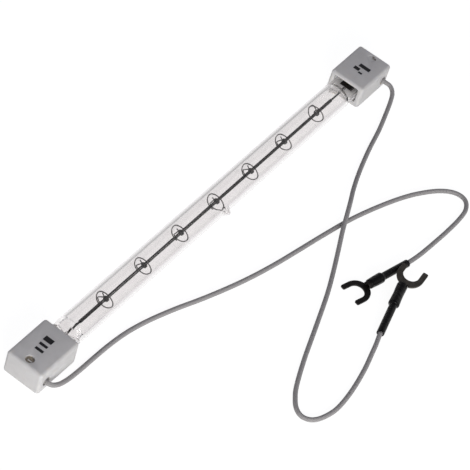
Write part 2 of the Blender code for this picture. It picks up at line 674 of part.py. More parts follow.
def smooth_route(knots, step):
    """Points at an even step along a smooth curve through the knots."""
    path = [knots[0]]
    padded = [knots[0] * 2 - knots[1]] + knots + [knots[-1] * 2 - knots[-2]]
    for before, start, end, after in zip(padded, padded[1:], padded[2:], padded[3:]):
        for i in range(1, ROUTE_PIECE_COUNT + 1):
            t = i / ROUTE_PIECE_COUNT
            path.append(0.5 * (2 * start + (end - before) * t
                               + (2 * before - 5 * start + 4 * end - after) * t ** 2
                               + (3 * start - before - 3 * end + after) * t ** 3))
    lengths = [0.0]
    for start, end in zip(path, path[1:]):
        lengths.append(lengths[-1] + (end - start).length)
    count = max(2, round(lengths[-1] / step))
    points = []
    index = 0
    for i in range(count + 1):
        wanted = lengths[-1] * i / count
        while index < len(lengths) - 2 and lengths[index + 1] < wanted:
            index += 1
        share = (wanted - lengths[index]) / (lengths[index + 1] - lengths[index])
        points.append(path[index].lerp(path[index + 1], share))
    return points


def make_lead(side, end, route, fork):
    """A braided lead, from inside its cap, over the floor, to the mouth of the crimp barrel."""
    frame = fork_frame(fork)
    mouth = frame @ Vector((-fork["sleeve_length"], 0.0, 0.0))
    stop = frame @ Vector((BARREL_INSET - fork["bulge_length"] - SEAT_GAP, 0.0, 0.0))
    inside = Vector((side * LEAD_HOLE_X, LEAD_START_Y, LEAD_HOLE_HEIGHT))
    knots = [inside] + [Vector(point) * MM for point in route] + [mouth, mouth.lerp(stop, 0.5), stop]
    points = smooth_route(knots, LEAD_STEP)
    wire(f"lead_{end}", points, LEAD_OD, "lead_braid")


def main():
    make_envelope()
    make_filament()
    for index in range(SUPPORT_COUNT):
        make_support(index)
    for side, end, route, fork in ((NEAR, "near", LEAD_NEAR_ROUTE, FORK_NEAR),
                                   (FAR, "far", LEAD_FAR_ROUTE, FORK_FAR)):
        make_feed(side, end)
        make_cap(side, end)
        make_cement(side, end)
        make_fork(fork, end)
        make_sleeve(fork, end)
        make_lead(side, end, route, fork)


main()
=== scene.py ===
"""Looks for the quartz heating tube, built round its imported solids.

Metres, +Z up. The tube lies along X, the caps stand on the floor at Z = 0, and the leads lie on the
floor on the -Y side. Near is the -X end of the lamp, and far is the +X end.
"""

import math

import bmesh
import bpy
from bpy.props import FloatProperty, FloatVectorProperty, IntProperty, PointerProperty
from mathutils import Matrix, Vector, noise


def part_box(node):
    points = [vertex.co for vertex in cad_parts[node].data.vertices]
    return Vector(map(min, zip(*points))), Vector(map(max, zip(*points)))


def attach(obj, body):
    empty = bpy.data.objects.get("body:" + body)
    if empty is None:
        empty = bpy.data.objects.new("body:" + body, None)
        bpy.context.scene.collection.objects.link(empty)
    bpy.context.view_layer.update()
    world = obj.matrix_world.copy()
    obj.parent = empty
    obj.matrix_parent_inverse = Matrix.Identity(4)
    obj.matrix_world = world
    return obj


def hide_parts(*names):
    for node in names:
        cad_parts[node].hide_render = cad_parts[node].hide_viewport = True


bl_info = {
    "name": "Quartz heating tube",
    "version": (1, 0, 0),
    "blender": (4, 5, 0),
    "location": "3D View > Sidebar > Heating Tube",
    "description": "Builds the glass, wires, caps and leads of a halogen heating lamp",
    "category": "Object",
}

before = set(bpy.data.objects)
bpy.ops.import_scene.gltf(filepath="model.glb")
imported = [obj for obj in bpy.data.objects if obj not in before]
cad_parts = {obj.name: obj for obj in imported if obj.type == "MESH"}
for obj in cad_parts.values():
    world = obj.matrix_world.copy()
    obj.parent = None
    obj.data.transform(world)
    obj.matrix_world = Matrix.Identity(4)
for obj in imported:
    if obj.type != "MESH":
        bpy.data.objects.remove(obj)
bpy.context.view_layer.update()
MM = 0.001
ENDS = ((-1, "near"), (1, "far"))

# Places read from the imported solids
TUBE_LOW, TUBE_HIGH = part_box("quartz_envelope")
CAP_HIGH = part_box("end_cap_far")[1]
COIL_LOW, COIL_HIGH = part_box("filament")
TUBE_RADIUS = (TUBE_HIGH[2] - TUBE_LOW[2]) / 2
AXIS_HEIGHT = (TUBE_HIGH[2] + TUBE_LOW[2]) / 2
PINCH_END = TUBE_HIGH[0]
CAP_TOP = CAP_HIGH[2]
CAP_END = CAP_HIGH[0]

# Sizes that no solid's box gives
SLIP_GAP = 0.15 * MM
SEAT_GAP = 0.3 * MM
SHOULDER_START = 77.8 * MM
PINCH_START = 80.7 * MM
BORE_SHOULDER_START = 77.4 * MM
BORE_FLAT_START = 79.2 * MM
BORE_END = 81.2 * MM
BORE_END_HALF_WIDTH = 0.55 * MM
BORE_END_HALF_HEIGHT = 0.43 * MM
BORE_FLATTENING = 1.4  # above 1, so that it is flat before its end
NEAR_SHOULDER_SHIFT = 1.3 * MM
PINCH_HALF_WIDTH = 5.1 * MM
PINCH_HALF_THICKNESS = 1.7 * MM
PINCH_HALF_WEB = 1.1 * MM
PINCH_BEAD = 1.5 * MM
PINCH_BEAD_RISE = 0.4 * MM
PINCH_ROUNDING = 0.9 * MM
PINCH_END_TAPER = 0.96
BORE_RADIUS = 4.1 * MM
TIP_X = 1.4 * MM
TIP_HEIGHT = 1.6 * MM
TIP_RADIUS = 2.2 * MM
TIP_BORE_HEIGHT = 2.4 * MM
TIP_BORE_RADIUS = 1.9 * MM
COIL_RADIUS = 0.6 * MM
SUPPORT_SPACING = 20.95 * MM
RING_GAP = 0.6 * MM
RING_PITCH = 0.6 * MM
RING_TURNS = 1.1
RING_BEND = 0.45 * MM
SPOKE_ANGLE = math.radians(-21)
WRAP_PITCH = 0.5 * MM
WRAP_TURNS = 1.75
TAIL_REACH = 2.2 * MM
COLLAR_RADIUS = 0.6 * MM
COLLAR_END = 74.6 * MM
FEED_RADIUS = 0.35 * MM
COLLAR_CONE = 0.3 * MM
VENT_FROM_END = 3.0 * MM
VENT_RADIUS = 1.6 * MM
VENT_FILL_DEPTH = 0.5 * MM
PASTE_DEPTH = 0.12 * MM
PASTE_GAP = 0.03 * MM
CAP_END_WALL = 1.5 * MM
CAVITY_EDGE = 0.8 * MM
HOLE_EDGE = 0.2 * MM
LEAD_HOLE_FROM_END = 3.7 * MM
LEAD_HOLE_HEIGHT = 4.4 * MM
LEAD_HOLE_RADIUS = 1.7 * MM
LEAD_START_Y = -5.2 * MM
LEAD_RADIUS = 0.85 * MM
SLEEVE_WALL = 0.4 * MM
SLEEVE_SWELL = 1.1 * MM
SLEEVE_LIP = 0.15 * MM
WRINKLE_HEIGHT = 0.05 * MM
WRINKLES_PER_METRE = 700
WRINKLES_ROUND = 1.5
WRINKLE_SEED = 7
BARREL_RADIUS = 1.4 * MM
BARREL_INSET = 1.9 * MM
BARREL_STICK_OUT = 1.2 * MM
BARREL_WALL = 0.5 * MM
BARREL_CHAMFER = 0.1 * MM
BARREL_SEAM = math.radians(4)
FORK_SLOT_RADIUS = 2.9 * MM
FORK_THICKNESS = 0.8 * MM
FORK_EDGE = 0.15 * MM
FORK_CORNER = 0.5 * MM
FORK_CENTRE = 5.6 * MM

# How each support is turned about the filament, in degrees from the first one
SUPPORT_TURNS = (0, -15, -27, -31, -5, -13, 80)
BEAKED_SUPPORT = 3
BEAK_ANGLE = math.radians(205)
BEAK_HALF_ANGLE = math.radians(16)

# Camera fitted to the photograph's caps, rings and tube edges
CAMERA_PLACE = Vector((-0.5057, -0.2150, 0.5799))
CAMERA_FORWARD = Vector((0.6352, 0.2554, -0.7289))
CAMERA_ROLL = math.radians(18.94)
CAMERA_LENS = 176.38

# Where each terminal lies and how it is turned. Sleeve and barrel lie as in the solids. The tongue's
# bend, shift and prongs follow the real one. The radii are those of the sleeve over the barrel:
# behind the shoulder, at the waist and at the fork.
FORK_NEAR = {
    "sleeve_end": Vector((14.9, -58.6, 2.0)) * MM,
    "sleeve_length": 18.9 * MM,
    "bulge_length": 6.8 * MM,
    "barrel_angle": math.radians(166.7),
    "tongue_bend": math.radians(-2.5),
    "pitch": 0.0,
    "tongue_side": -1,
    "prong": 1.9 * MM,
    "prong_lengths": (2.4 * MM, 2.4 * MM),
    "root": 2.4 * MM,
    "tongue_shift": Vector((0.0, 0.0, 0.0)),
    "radii": (1.95 * MM, 1.88 * MM, 1.75 * MM),
}
FORK_FAR = {
    "sleeve_end": Vector((22.6, -67.5, 2.75)) * MM,
    "sleeve_length": 23.8 * MM,
    "bulge_length": 10.4 * MM,
    "barrel_angle": math.radians(14.7),
    "tongue_bend": math.radians(-9.0),
    "pitch": math.radians(2.4),
    "tongue_side": 1,
    "prong": 2.05 * MM,
    "prong_lengths": (2.0 * MM, 2.9 * MM),
    "root": 2.9 * MM,
    "tongue_shift": Vector((-0.4, -0.5, 0.0)) * MM,
    "radii": (2.0 * MM, 1.82 * MM, 1.98 * MM),
}

# The leads' routes in millimetres, the same as the solids follow
LEAD_NEAR_ROUTE = (
    (-100.3, -8.2, 4.2), (-99.2, -9.5, 3.6), (-96.8, -10.3, 2.7), (-93.4, -10.6, 1.8),
    (-89.7, -10.7, 1.2), (-84.5, -10.8, 0.95), (-77.9, -10.9, 0.95), (-70.5, -11.2, 0.95),
    (-62.3, -12.1, 0.95), (-53.4, -14.1, 0.95), (-43.2, -17.3, 0.95), (-33.7, -20.8, 0.95),
    (-23.5, -24.2, 0.95), (-13.0, -27.2, 0.95), (-1.6, -29.8, 0.95), (10.4, -32.0, 0.95),
    (22.8, -34.2, 0.95), (35.3, -36.7, 0.95), (47.1, -40.0, 0.95), (58.1, -43.9, 0.95),
    (66.0, -47.7, 0.95), (72.7, -52.3, 0.95), (76.2, -57.0, 0.95), (76.0, -61.3, 0.95),
    (72.2, -64.0, 0.95), (66.2, -64.8, 0.95), (57.7, -64.8, 1.05), (47.4, -64.4, 1.5),
    (39.5, -63.9, 1.9),
)
LEAD_FAR_ROUTE = (
    (100.4, -8.4, 4.2), (100.9, -10.6, 3.5), (99.5, -12.8, 2.7), (96.2, -14.5, 2.0),
    (90.2, -16.6, 1.4), (80.7, -19.6, 1.0), (69.5, -22.5, 0.95), (57.5, -26.2, 1.4),
    (48.2, -29.6, 2.3), (41.2, -32.6, 3.2), (34.9, -35.3, 3.2), (28.2, -38.2, 2.3),
    (20.0, -42.1, 1.4), (10.4, -46.5, 0.95), (0.6, -50.6, 0.95), (-13.2, -55.6, 0.95),
    (-27.9, -60.8, 0.95), (-39.0, -65.3, 0.95), (-43.8, -68.0, 0.95), (-47.1, -70.8, 0.95),
    (-48.4, -74.0, 0.95), (-47.0, -77.2, 0.95), (-43.0, -79.4, 0.95), (-36.7, -80.6, 0.95),
    (-27.3, -80.0, 0.95), (-17.1, -78.2, 1.1), (-9.4, -76.2, 1.4), (-5.0, -75.0, 1.5),
)

# The bars on each cap in millimetres: x and y of the middle, size along the tube and across it
BARS = {
    "near": ((-96.0, 0.3, 1.1, 3.2), (-93.6, 0.5, 1.1, 3.2), (-90.8, 0.6, 2.1, 3.4)),
    "far": ((92.2, 1.1, 1.7, 2.4), (94.7, -0.9, 1.8, 4.6), (91.0, -1.2, 0.9, 1.6)),
}
INK_HEIGHT = 0.02 * MM

# The lamps: name, place, power in watts and width. All of them face the origin.
LAMPS = (("key", (-0.62, -0.6, 0.25), 4.7, 0.5), ("fill", (0.9, -0.5, 0.4), 0.35, 0.8))

# The world's linear light at the horizon and high up, and the height at which the second is reached
HORIZON_LIGHT = (0.75, 0.75, 0.75)
OVERHEAD_LIGHT = (0.067, 0.067, 0.102)
OVERHEAD_START = 0.9

# The floor: half its width, its glow where it is seen straight and at a grazing angle, and the share
# of its colour that the lamps light where it glows
FLOOR_HALF_WIDTH = 6.0
FLOOR_GLOW = 0.93
GRAZING_GLOW = 0.35
LIT_SHARE = 0.3

QUARTZ_IOR = 1.458


def linear_color(code):
    """A colour from its sRGB hex code, as linear red, green and blue."""
    channels = [int(code[i:i + 2], 16) / 255 for i in (1, 3, 5)]
    return tuple(c / 12.92 if c <= 0.04045 else ((c + 0.055) / 1.055) ** 2.4 for c in channels)


def color_property(name, code, description):
    return FloatVectorProperty(name=name, description=description, default=linear_color(code),
                               subtype="COLOR", size=3, min=0.0, max=1.0)


def length_property(name, millimetres, description):
    return FloatProperty(name=name, description=description, default=millimetres * MM, unit="LENGTH",
                         precision=5)


class HeatingTubeSizes(bpy.types.PropertyGroup):
    """Sizes that the solids leave open."""

    coil_wire: length_property("Coil wire", 0.3, "Thickness of the filament's wire")
    coil_pitch: length_property("Coil pitch", 0.44, "Distance from turn to turn of the filament")
    support_wire: length_property("Support wire", 0.4, "Thickness of the support rings")
    rib_pitch: length_property("Rib pitch", 0.65, "Distance between the ribs on the pinched seals")
    rib_height: length_property("Rib height", 0.08, "How far the ribs of the seals stand proud")
    cap_edge: length_property("Cap edge", 1.15, "Radius of the caps' rounded edges")
    strand_height: length_property("Strand height", 0.05, "How far a strand of the braid stands proud")
    braid_lay: length_property("Braid lay", 5.0, "Length over which a strand goes once round the lead")
    strands: IntProperty(name="Braid strands", description="Strands that wind each way round a lead",
                         default=8, min=3)


class HeatingTubeColors(bpy.types.PropertyGroup):
    """Colours of the finishes."""

    ceramic: color_property("Ceramic", "#E0DEDC", "Pressed and fired steatite of the caps")
    quartz: color_property("Quartz", "#EFEDED", "Tint of the fused quartz")
    cement: color_property("Cement", "#ADA290", "Cement that holds the seals")
    tungsten: color_property("Tungsten", "#2B2928", "Drawn wire of the filament")
    molybdenum: color_property("Molybdenum", "#343130", "Drawn wire of the supports and inner leads")
    nickel: color_property("Nickel", "#B3AEA6", "Plating of the pins and crimps")
    # Near white: a painted highlight for the shine of the crimp's metal edge in the near hole
    tin: color_property("Tin", "#E4E1DC", "Tinned edge of the crimp in the near hole")
    braid: color_property("Braid", "#A9A6A5", "Glass fibre braid of the leads")
    sleeve: color_property("Sleeve", "#0D0C0C", "Heat-shrunk sleeving")
    terminal_near: color_property("Near terminal", "#24211F", "Black plated sheet of the near terminal")
    terminal_far: color_property("Far terminal", "#57534C", "Bronze plated sheet of the far terminal")
    ink: color_property("Ink", "#1B1A1C", "Printed marks on the caps")
    floor: color_property("Floor", "#E6E6E6", "Paper of the studio floor")


def sizes():
    return bpy.context.scene.heating_tube_sizes


def color(name):
    return tuple(getattr(bpy.context.scene.heating_tube_colors, name))


def add_node(tree, kind, settings=None, values=None, links=None, stops=None):
    """Add a shader node with its settings, socket values, incoming links and two colour stops."""
    node = tree.nodes.new(kind)
    for name, value in (settings or {}).items():
        setattr(node, name, value)
    for socket, value in (values or {}).items():
        node.inputs[socket].default_value = value
    for socket, source in (links or {}).items():
        tree.links.new(source, node.inputs[socket])
    if stops:
        for element, (position, tint) in zip(node.color_ramp.elements, stops):
            element.position = position
            element.color = (*tint, 1.0)
    return node


def start_material(name, base, roughness, metallic=0.0):
    """A material with one Principled shader, its node tree and that shader."""
    material = bpy.data.materials.new(name)
    material.use_nodes = True
    tree = material.node_tree
    shader = tree.nodes["Principled BSDF"]
    shader.inputs["Base Color"].default_value = (*base, 1.0)
    shader.inputs["Roughness"].default_value = roughness
    shader.inputs["Metallic"].default_value = metallic
    return material, tree, shader


def add_grain(tree, shader, size_mm, detail=3.0, stops=None, relief_mm=0.0, strength=1.0):
    """Patches about size_mm across in the object's own space, as two-toned colour, relief or both."""
    place = add_node(tree, "ShaderNodeTexCoord").outputs["Object"]
    patches = add_node(tree, "ShaderNodeTexNoise", links={"Vector": place},
                       values={"Scale": 1.0 / (size_mm * MM), "Detail": detail}).outputs["Fac"]
    if stops:
        tones = add_node(tree, "ShaderNodeValToRGB", links={"Fac": patches}, stops=stops)
        tree.links.new(tones.outputs["Color"], shader.inputs["Base Color"])
    if relief_mm:
        relief = add_node(tree, "ShaderNodeBump", links={"Height": patches},
                          values={"Distance": relief_mm * MM, "Strength": strength})
        tree.links.new(relief.outputs["Normal"], shader.inputs["Normal"])


def scaled(base, factor):
    return tuple(min(1.0, channel * factor) for channel in base)


def fused_quartz():
    """Fused quartz, drawn and flame worked: clear and smooth.

    The wall guides some rays along the whole tube. Such a ray leaves the wall unbent after its third
    reflection, because it would end as black otherwise.
    """
    material, tree, shader = start_material("fused_quartz", color("quartz"), 0.0)
    depth = add_node(tree, "ShaderNodeLightPath").outputs["Glossy Depth"]
    bending = add_node(tree, "ShaderNodeMapRange", links={"Value": depth},
                       values={"From Min": 2.0, "From Max": 3.0, "To Min": QUARTZ_IOR, "To Max": 1.0})
    # The socket has the plain value too, for programs that drop the link
    shader.inputs["IOR"].default_value = QUARTZ_IOR
    tree.links.new(bending.outputs["Result"], shader.inputs["IOR"])
    shader.inputs["Transmission Weight"].default_value = 1.0
    return material


def ribbed_quartz():
    """Fused quartz that the jaws of the press ribbed and hazed: light grey, dull, lets some light by."""
    material, _, shader = start_material("ribbed_quartz", scaled(color("quartz"), 0.85), 0.5)
    shader.inputs["IOR"].default_value = QUARTZ_IOR
    shader.inputs["Transmission Weight"].default_value = 0.25
    return material


def steatite():
    """Steatite ceramic, pressed and fired without glaze: white, faintly mottled, fine grain."""
    base = color("ceramic")
    material, tree, shader = start_material("fired_steatite", base, 0.5)
    add_grain(tree, shader, 3.0, stops=((0.35, scaled(base, 0.95)), (0.65, base)))
    add_grain(tree, shader, 0.12, detail=4.0, relief_mm=0.02, strength=0.5)
    shader.inputs["Subsurface Weight"].default_value = 0.35
    shader.inputs["Subsurface Radius"].default_value = (1.0, 0.95, 0.85)
    shader.inputs["Subsurface Scale"].default_value = 1.6 * MM
    return material


def cement():
    """Set cement: beige, rough and pitted."""
    base = color("cement")
    material, tree, shader = start_material("set_cement", base, 0.9)
    add_grain(tree, shader, 0.8, detail=5.0, stops=((0.35, scaled(base, 0.6)), (0.65, base)),
              relief_mm=0.25)
    return material


def ceramic_paste():
    """Ceramic paste, wiped flush over the far hole: off-white with a beige stain."""
    base = color("ceramic")
    material, tree, shader = start_material("ceramic_paste", base, 0.8)
    stain = scaled(color("cement"), 0.45)
    add_grain(tree, shader, 1.3, detail=2.0, stops=((0.36, stain), (0.5, scaled(base, 0.97))),
              relief_mm=0.1)
    return material


def drawn_tungsten():
    """Drawn and coiled tungsten wire: dark grey metal, dull from the die."""
    return start_material("coiled_tungsten", color("tungsten"), 0.42, 1.0)[0]


def drawn_molybdenum():
    """Drawn molybdenum wire: grey metal, a little brighter than the coil."""
    return start_material("drawn_molybdenum", color("molybdenum"), 0.38, 1.0)[0]


def oxidised_wire():
    """Inner lead and its collar: nearly black metal, darker than the supports, dull."""
    return start_material("oxidised_wire", scaled(color("molybdenum"), 0.55), 0.5, 1.0)[0]


def rolled_foil():
    """Rolled molybdenum foil sealed in quartz: nearly black, because nothing shines on it."""
    return start_material("sealed_foil", scaled(color("molybdenum"), 1.4), 0.5, 1.0)[0]


def nickel_plate():
    """Nickel plated wire and crimp: warm grey metal with a satin shine."""
    return start_material("nickel_plate", color("nickel"), 0.32, 1.0)[0]


def tinned_strip():
    """Edge of the crimp in the near hole, with a painted highlight: its near-white colour stands for the
    metal's shine, dull.
    """
    return start_material("tinned_strip", color("tin"), 0.6, 0.2)[0]


def glass_braid():
    """Braided glass fibre: grey strands with painted shade in the valleys and a painted highlight on the
    crowns, dry and rough.
    """
    base = color("braid")
    material, tree, shader = start_material("glass_fibre_braid", base, 0.8)
    strand = add_node(tree, "ShaderNodeAttribute", settings={"attribute_name": "strand"})
    # Painted shade and highlight: the weave's height makes the valleys darker and the crowns lighter
    tones = add_node(tree, "ShaderNodeValToRGB", links={"Fac": strand.outputs["Fac"]},
                     stops=((0.1, scaled(base, 0.5)), (0.8, scaled(base, 1.15))))
    tree.links.new(tones.outputs["Color"], shader.inputs["Base Color"])
    shader.inputs["Sheen Weight"].default_value = 0.15
    return material


def shrunk_sleeve():
    """Heat-shrunk polymer sleeving: black, a little glossy, faintly wrinkled."""
    material, tree, shader = start_material("shrunk_sleeving", color("sleeve"), 0.3)
    shader.inputs["Specular IOR Level"].default_value = 0.25
    add_grain(tree, shader, 0.9, relief_mm=0.25, strength=0.8)
    return material


def plated_terminal(end):
    """Stamped sheet with a dark plating: satin metal, blacker on the near terminal."""
    base = color(f"terminal_{end}")
    material, tree, shader = start_material(f"dark_plated_sheet_{end}", base, 0.5, 0.6)
    add_grain(tree, shader, 1.5, stops=((0.35, scaled(base, 0.75)), (0.65, scaled(base, 1.15))))
    return material


def marking_ink():
    """Stamped ink on ceramic: flat black."""
    return start_material("stamped_ink", color("ink"), 0.6)[0]


def add_object(name, data):
    item = bpy.data.objects.new(name, data)
    bpy.context.scene.collection.objects.link(item)
    return item


def add_piece(name, data, material, replaced=(), smooth=True):
    """Link a piece, give it its finish, and let it ride on the lamp."""
    piece = add_object(name, data)
    data.materials.append(material)
    if smooth:
        data.shade_smooth()
    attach(piece, "root")
    if replaced:
        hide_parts(*replaced)
    return piece


def mesh_from(name, bm):
    mesh = bpy.data.meshes.new(name)
    bmesh.ops.recalc_face_normals(bm, faces=bm.faces)
    bm.to_mesh(mesh)
    bm.free()
    return mesh


def skin(bm, sections, closed_ends=True):
    """Faces over a row of sections with the same number of points each."""
    rings = [[bm.verts.new(point) for point in section] for section in sections]
    count = len(rings[0])
    for ring, following in zip(rings, rings[1:]):
        for i in range(count):
            j = (i + 1) % count
            bm.faces.new((ring[i], ring[j], following[j], following[i]))
    if closed_ends:
        bm.faces.new(list(reversed(rings[0])))
        bm.faces.new(rings[-1])
    return rings


def eased(start, end, share):
    """A value on an S curve between two others."""
    share = max(0.0, min(1.0, share))
    return start + (end - start) * share * share * (3 - 2 * share)


def even_points(path, count):
    """Points along a path in as many even steps as count, and the path's length."""
    lengths = [0.0]
    for start, end in zip(path, path[1:]):
        lengths.append(lengths[-1] + (end - start).length)
    points = []
    index = 0
    for i in range(count + 1):
        wanted = lengths[-1] * i / count
        while index < len(lengths) - 2 and lengths[index + 1] < wanted:
            index += 1
        share = (wanted - lengths[index]) / (lengths[index + 1] - lengths[index])
        points.append(path[index].lerp(path[index + 1], share))
    return points, lengths[-1]


def smooth_path(knots):
    """A dense path on a smooth curve through the knots."""
    path = [knots[0]]
    padded = [knots[0] * 2 - knots[1]] + knots + [knots[-1] * 2 - knots[-2]]
    pieces = 12
    for before, start, end, after in zip(padded, padded[1:], padded[2:], padded[3:]):
        for i in range(1, pieces + 1):
            t = i / pieces
            path.append(0.5 * (2 * start + (end - before) * t
                               + (2 * before - 5 * start + 4 * end - after) * t ** 2
                               + (3 * start - before - 3 * end + after) * t ** 3))
    return path


def tube_sections(points, radius, count):
    """Round sections along a path. The radius is a number, or a function of point number and angle."""
    sections = []
    across = None
    for i, point in enumerate(points):
        ahead = points[min(i + 1, len(points) - 1)]
        behind = points[max(i - 1, 0)]
        along = (ahead - behind).normalized()
        if across is None:
            across = along.orthogonal().normalized()
        across = (across - along * across.dot(along)).normalized()
        other = along.cross(across)
        section = []
        for k in range(count):
            angle = 2 * math.pi * k / count
            reach = radius(i, angle) if callable(radius) else radius
            section.append(point + (across * math.cos(angle) + other * math.sin(angle)) * reach)
        sections.append(section)
    return sections


def wire_mesh(name, points, diameter, sides):
    bm = bmesh.new()
    skin(bm, tube_sections(points, diameter / 2, sides))
    return mesh_from(name, bm)


def terminal_frame(fork):
    """The place of a terminal: its local +X leaves the sleeve and points along the barrel."""
    turn = Matrix.Rotation(fork["barrel_angle"], 4, "Z") @ Matrix.Rotation(-fork["pitch"], 4, "Y")
    return Matrix.Translation(fork["sleeve_end"]) @ turn


def braided_lead(end, side, route, fork):
    """A round lead whose surface is a woven braid, from inside its cap to its crimp barrel."""
    place = terminal_frame(fork)
    mouth = place @ Vector((-fork["sleeve_length"], 0.0, 0.0))
    stop = place @ Vector((BARREL_INSET - fork["bulge_length"] - SEAT_GAP, 0.0, 0.0))
    inside = Vector((side * (CAP_END - LEAD_HOLE_FROM_END), LEAD_START_Y, LEAD_HOLE_HEIGHT))
    knots = [inside] + [Vector(point) * MM for point in route] + [mouth, mouth.lerp(stop, 0.5), stop]
    stations = 1400
    sides = 32
    points, length = even_points(smooth_path(knots), stations)
    strands = sizes().strands
    height = sizes().strand_height
    lay = sizes().braid_lay
    heights = []

    def reach(index, angle):
        run = strands * 2 * math.pi * length * index / stations / lay
        one = strands * angle + run
        two = strands * angle - run
        over = math.sin(one / 2) * math.sin(two / 2)
        weave = abs(math.cos(one / 2)) if over > 0 else abs(math.cos(two / 2))
        heights.append(weave)
        return LEAD_RADIUS - height * (1 - weave)

    bm = bmesh.new()
    skin(bm, tube_sections(points, reach, sides))
    mesh = mesh_from(f"braided_lead_{end}", bm)
    # The weave's height at each point, kept for the painted shade in the valleys and the painted highlight
    # on the crowns
    strand = mesh.attributes.new("strand", "FLOAT", "POINT")
    strand.data.foreach_set("value", heights)
    piece = add_piece(f"braided_lead_{end}", mesh, glass_braid(), (f"lead_{end}",))
    return piece, points, length


def sleeve_radius(fork, x):
    """The sleeve's outer radius: narrow over the lead, and swollen over the barrel."""
    shoulder, waist, mouth = fork["radii"]
    narrow = LEAD_RADIUS + SLIP_GAP + SLEEVE_WALL
    start = -fork["bulge_length"]
    swell = eased(0.0, 1.0, (x - start) / SLEEVE_SWELL)
    share = max(0.0, (x - start - SLEEVE_SWELL) / (fork["bulge_length"] - SLEEVE_SWELL))
    if share < 0.5:
        wide = shoulder + (waist - shoulder) * 2 * share
    else:
        wide = waist + (mouth - waist) * (2 * share - 1)
    return narrow + (wide - narrow) * swell


def shrunk_tube(end, fork):
    """Sleeving shrunk over the crimp barrel and the end of the lead."""
    length = fork["sleeve_length"]
    narrow = LEAD_RADIUS + SLIP_GAP
    wide = BARREL_RADIUS + SLIP_GAP
    step_in = BARREL_INSET - fork["bulge_length"] - SEAT_GAP
    stations = 120
    count = 40
    outer = []
    inner = []
    for i in range(stations + 1):
        x = length * (i / stations - 1)
        trim = SLEEVE_LIP * max(0.0, 1 + x / SLEEVE_LIP, 1 - (x + length) / SLEEVE_LIP)
        outer.append((x, sleeve_radius(fork, x) - 0.5 * trim))
        inner.append((x, eased(narrow, wide, (x - step_in) / MM + 1)))
    sections = []
    for x, radius in outer + list(reversed(inner)):
        section = []
        for k in range(count):
            angle = 2 * math.pi * k / count
            place = (x * WRINKLES_PER_METRE, math.cos(angle) * WRINKLES_ROUND,
                     math.sin(angle) * WRINKLES_ROUND + WRINKLE_SEED)
            reach = radius + WRINKLE_HEIGHT * noise.noise(Vector(place)) * (radius > wide)
            section.append(Vector((x, reach * math.cos(angle), reach * math.sin(angle))))
        sections.append(section)
    bm = bmesh.new()
    rings = skin(bm, sections, closed_ends=False)
    for i in range(count):
        j = (i + 1) % count
        bm.faces.new((rings[-1][i], rings[-1][j], rings[0][j], rings[0][i]))
    mesh = mesh_from(f"shrunk_sleeve_{end}", bm)
    mesh.transform(terminal_frame(fork))
    return add_piece(f"shrunk_sleeve_{end}", mesh, shrunk_sleeve(), (f"sleeve_{end}",))


def fork_half(fork, length):
    """One side of the tongue's outline, from the neck over the prong to the bottom of the slot."""
    inner = FORK_SLOT_RADIUS
    outer = inner + fork["prong"]
    tip = fork["prong"] / 2
    neck_angle = math.asin(BARREL_RADIUS / outer)
    neck_back = -(FORK_CENTRE - SEAT_GAP - BARREL_RADIUS * abs(math.sin(fork["tongue_bend"])))
    arc_steps = 20
    tip_steps = 8
    half = [(neck_back, BARREL_RADIUS)]
    for i in range(arc_steps + 1):
        angle = math.pi - neck_angle - (math.pi / 2 - neck_angle) * i / arc_steps
        reach = outer + (fork["root"] - fork["prong"]) * math.cos(angle) ** 2
        half.append((reach * math.cos(angle), reach * math.sin(angle)))
    for start in (math.pi / 2, 0.0):
        for i in range(tip_steps + 1):
            angle = start - math.pi / 2 * i / tip_steps
            shift = tip - FORK_CORNER if start else FORK_CORNER - tip
            half.append((length + tip - FORK_CORNER + FORK_CORNER * math.cos(angle),
                         inner + tip + shift + FORK_CORNER * math.sin(angle)))
    for i in range(arc_steps + 1):
        angle = math.pi / 2 + math.pi / 2 * i / arc_steps
        half.append((inner * math.cos(angle), inner * math.sin(angle)))
    return half


def fork_outline(fork):
    """The tongue's outline, with its slot open toward +X and the slot's centre at the origin."""
    left, right = (fork_half(fork, length) for length in fork["prong_lengths"])
    return left + [(x, -y) for x, y in reversed(right[:-1])]


def fork_tongue(end, fork, material):
    """The flat forked tongue, stamped with slightly rounded edges."""
    name = f"fork_tongue_{end}"
    curve = bpy.data.curves.new(name, "CURVE")
    curve.dimensions = "2D"
    curve.fill_mode = "BOTH"
    curve.extrude = FORK_THICKNESS / 2 - FORK_EDGE
    curve.bevel_depth = FORK_EDGE
    curve.bevel_resolution = 2
    curve.offset = -FORK_EDGE
    spline = curve.splines.new("POLY")
    outline = fork_outline(fork)
    spline.points.add(len(outline) - 1)
    for point, (x, y) in zip(spline.points, outline):
        point.co = (x, y, 0.0, 1.0)
    spline.use_cyclic_u = True
    holder = add_object(name, curve)
    bpy.context.view_layer.update()
    graph = bpy.context.evaluated_depsgraph_get()
    mesh = bpy.data.meshes.new_from_object(holder.evaluated_get(graph))
    bpy.data.objects.remove(holder, do_unlink=True)
    bm = bmesh.new()
    bm.from_mesh(mesh)
    bmesh.ops.remove_doubles(bm, verts=bm.verts, dist=0.000001)
    bm.to_mesh(mesh)
    bm.free()
    rise = fork["tongue_side"] * (BARREL_RADIUS - FORK_THICKNESS / 2)
    bend = Matrix.Rotation(fork["tongue_bend"], 4, "Z")
    shift = Vector((FORK_CENTRE, 0.0, rise)) + fork["tongue_shift"]
    mesh.transform(terminal_frame(fork) @ bend @ Matrix.Translation(shift))
    mesh.materials.clear()
    return add_piece(name, mesh, material, (f"fork_terminal_{end}",), smooth=False)


